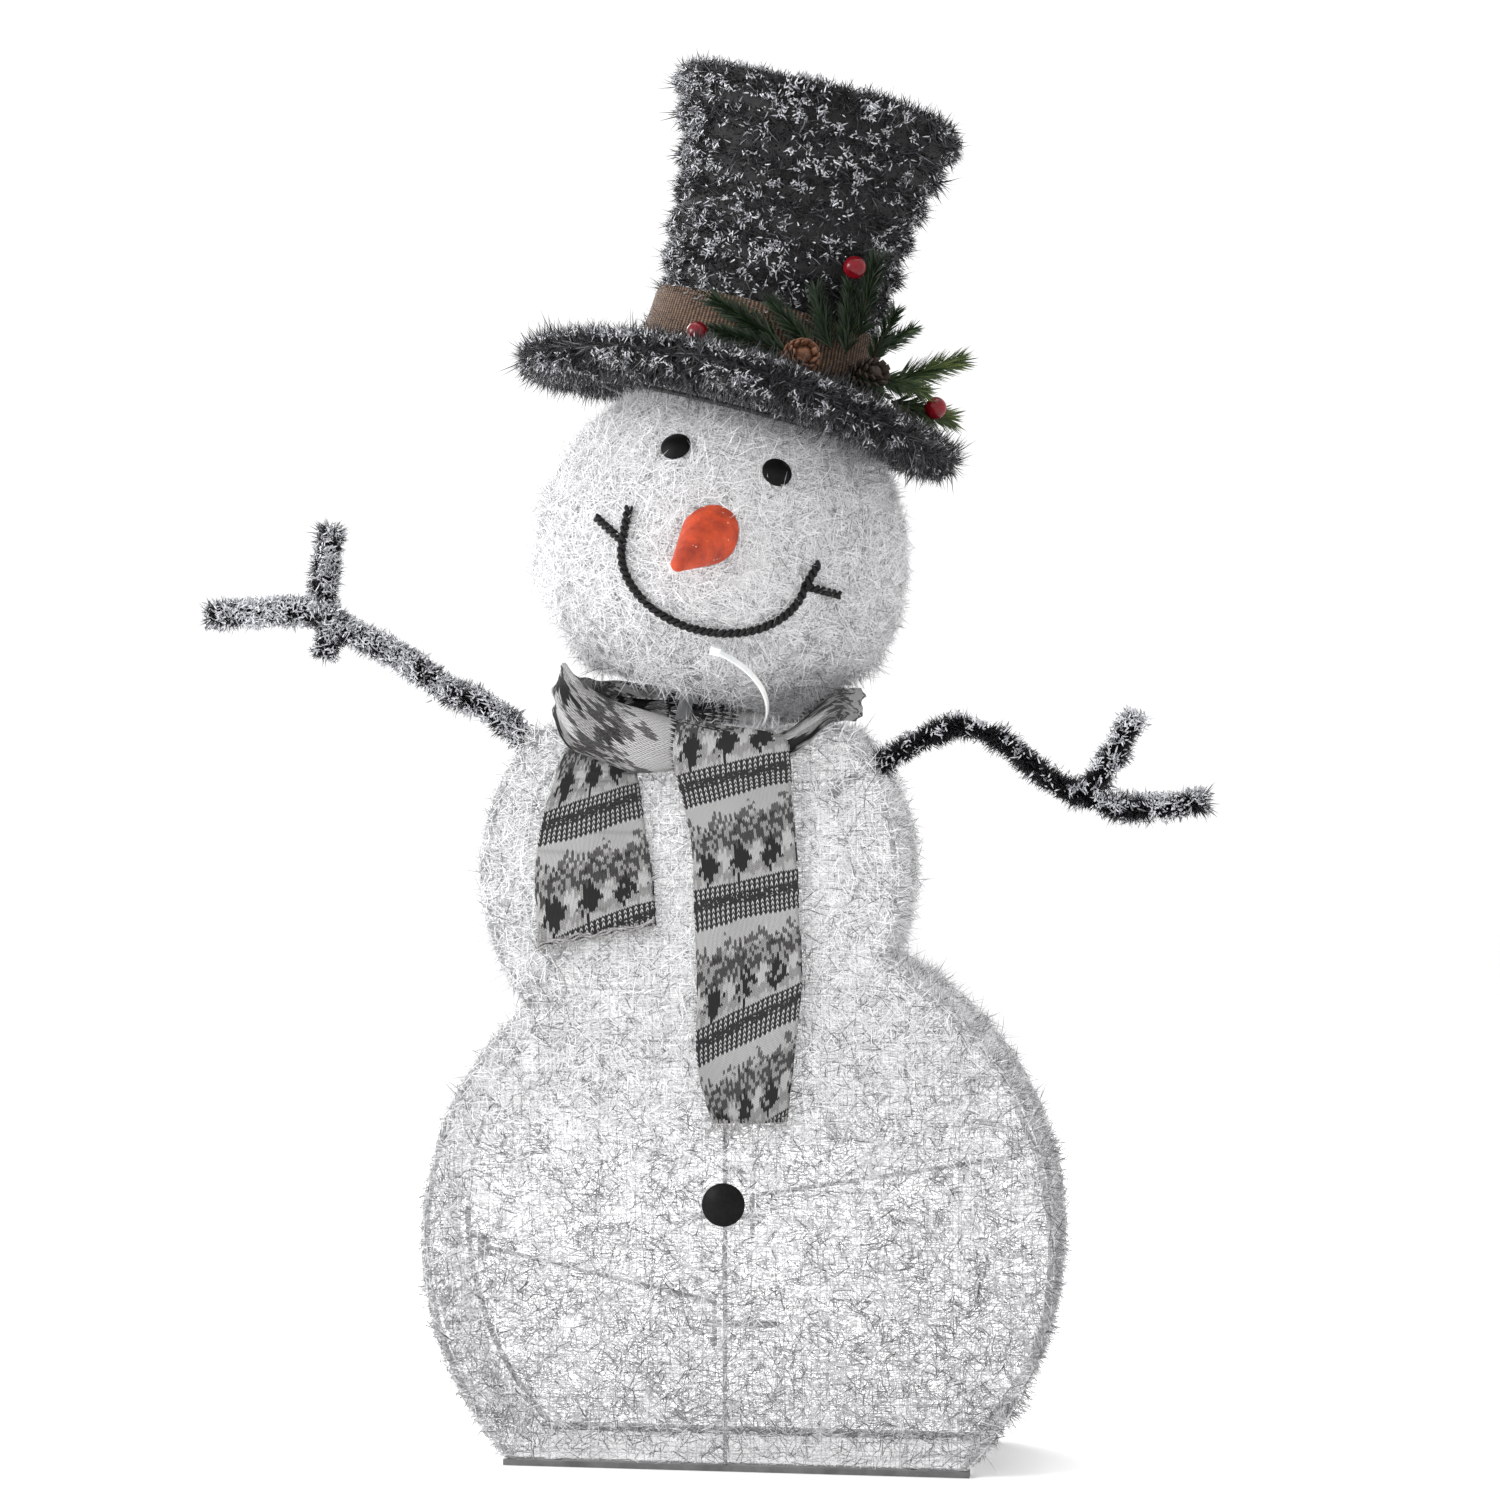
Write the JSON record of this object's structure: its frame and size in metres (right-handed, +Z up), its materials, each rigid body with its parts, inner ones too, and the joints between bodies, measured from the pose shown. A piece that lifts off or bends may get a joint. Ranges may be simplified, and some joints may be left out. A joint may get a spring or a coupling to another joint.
{
  "type": "yard snowman",
  "caption": "Knock-down wire-frame yard snowman: netting-skinned panels that fold, a turning ball head in a tinsel top hat, swivelling garland arms and a knitted scarf.",
  "frame": {"origin": "underside of the front base rail, at its middle", "axes": "+Z up, +Y to the back, +X to the viewer's right"},
  "size_m": [0.8608, 0.4174, 1.1906],
  "materials": {
    "frame_wire": "white powder-coated steel wire",
    "socket_tube": "white powder-coated steel tube",
    "netting": "frosted white fibre netting, see-through",
    "black_button": "glossy black moulded plastic",
    "nose_orange": "orange foam cone with white flecks",
    "black_rope": "black twisted cord",
    "knit": "grey and white patterned knitted wool",
    "white_nylon": "white nylon tie",
    "black_wire": "black coated steel wire",
    "tinsel": "charcoal tinsel frosted with white",
    "burlap": "open-weave natural burlap ribbon",
    "pine": "green artificial pine needles",
    "cone_wood": "natural pine cone",
    "cone_wood_dark": "dark natural pine cone",
    "berry_red": "glossy red berries"
  },
  "bodies": {
    "front_frame": {"front_rail": "frame_wire", "front_outline": "frame_wire", "centre_post": "frame_wire", "guide_loops": "frame_wire", "socket_right": "socket_tube", "socket_left": "socket_tube", "neck_post": "socket_tube", "front_net": "netting", "side_net": "netting", "belly_button": "black_button", "scarf_collar": "knit", "scarf_short_tail": "knit", "scarf_long_tail": "knit", "cable_tie": "white_nylon"},
    "back_frame": {"back_rail": "frame_wire", "back_outline": "frame_wire", "back_net": "netting"},
    "spreader_right": {"spreader_right": "frame_wire"},
    "spreader_left": {"spreader_left": "frame_wire"},
    "head": {"head_frame": "frame_wire", "head_hoops": "frame_wire", "head_net": "netting", "head_base_net": "netting", "eye_left": "black_button", "eye_right": "black_button", "nose": "nose_orange", "mouth": "black_rope", "hat_wire": "black_wire", "hat_brim": "tinsel", "hat_crown": "tinsel", "hat_band": "burlap", "pine_sprigs": "pine", "cone_light": "cone_wood", "cone_dark": "cone_wood_dark", "berries": "berry_red"},
    "right_arm": {"arm_rod_right": "black_wire", "arm_wire_right": "black_wire", "garland_right": "tinsel"},
    "left_arm": {"arm_rod_left": "black_wire", "arm_wire_left": "black_wire", "garland_left": "tinsel"}
  },
  "joints": [
    {"name": "body_fold", "type": "slide", "parent": "front_frame", "child": "back_frame", "axis": [0, -1, 0], "range_m": [0, 0.11], "deforming": ["side_net"]},
    {"name": "spreader_right_fold", "type": "hinge", "parent": "back_frame", "child": "spreader_right", "pos_m": [0.24309, 0.16, 0.25], "axis": [0, 0, 1], "range_deg": [-24.8, 0]},
    {"name": "spreader_left_fold", "type": "hinge", "parent": "back_frame", "child": "spreader_left", "pos_m": [-0.24901, 0.16, 0.16], "axis": [0, 0, 1], "range_deg": [0, 24.8]},
    {"name": "head_turn", "type": "hinge", "parent": "front_frame", "child": "head", "pos_m": [-0.024, 0.08, 0.763], "axis": [0.2419, 0, 0.9703], "range_deg": [-40, 40]},
    {"name": "right_arm_swivel", "type": "hinge", "parent": "front_frame", "child": "right_arm", "pos_m": [0.11082, 0.025, 0.584], "axis": [0.866, 0, 0.5], "range_deg": [-75, 75]},
    {"name": "left_arm_swivel", "type": "hinge", "parent": "front_frame", "child": "left_arm", "pos_m": [-0.17533, 0.025, 0.60401], "axis": [-0.788, 0, 0.6157], "range_deg": [-75, 75]}
  ],
  "couplings": [
    {"joint": "spreader_right_fold", "follows": "body_fold", "rad_per_m": -3.9274},
    {"joint": "spreader_left_fold", "follows": "body_fold", "rad_per_m": 3.9274}
  ]
}
